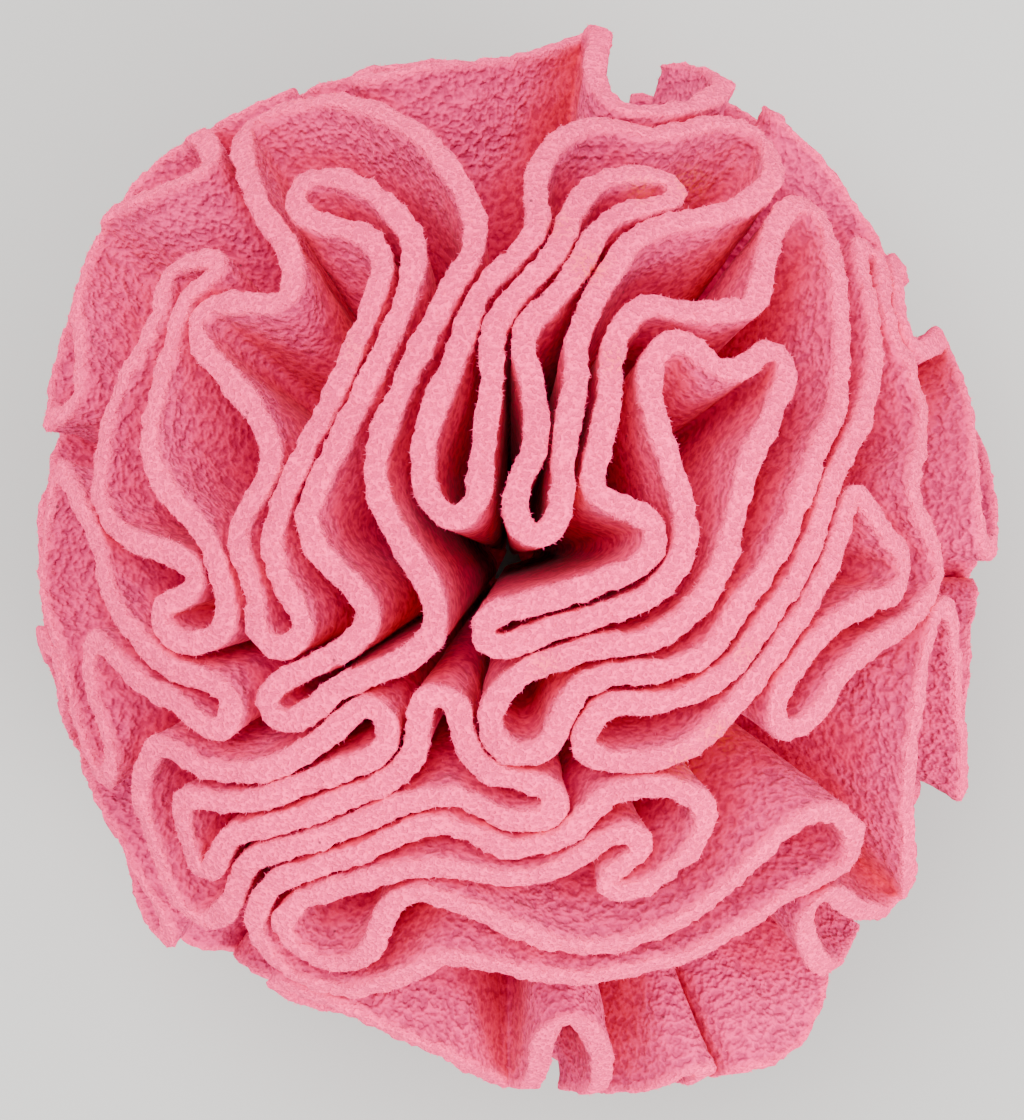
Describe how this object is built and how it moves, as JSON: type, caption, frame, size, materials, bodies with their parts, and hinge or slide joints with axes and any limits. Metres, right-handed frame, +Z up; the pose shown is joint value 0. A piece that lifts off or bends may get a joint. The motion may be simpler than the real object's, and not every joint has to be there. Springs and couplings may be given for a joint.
{
  "type": "dog snuffle ball",
  "caption": "Round ball of ruffled fleece, with deep soft folds all over in which dry food is hidden for a dog to find.",
  "frame": {"origin": "on the flat spot that the ball rests on, under the middle of the ball", "axes": "+Z up, +Y along the slightly longer width of the ball, +X across it"},
  "size_m": [0.1378, 0.1508, 0.1126],
  "materials": {
    "fleece": "soft napped fleece"
  },
  "bodies": {
    "root": {"fleece_left_crown": "fleece", "fleece_north_crown": "fleece", "fleece_east_crown": "fleece", "fleece_east_side": "fleece", "fleece_south_crown": "fleece", "fleece_south_west": "fleece", "fleece_west_crown": "fleece", "fleece_west_side": "fleece", "fleece_north_west": "fleece", "fleece_lower_north": "fleece", "fleece_lower_east": "fleece", "fleece_lower_south_east": "fleece", "fleece_lower_south": "fleece", "fleece_lower_west": "fleece", "fleece_lower_north_west": "fleece", "fleece_under_north": "fleece", "fleece_under_south": "fleece"}
  },
  "joints": []
}
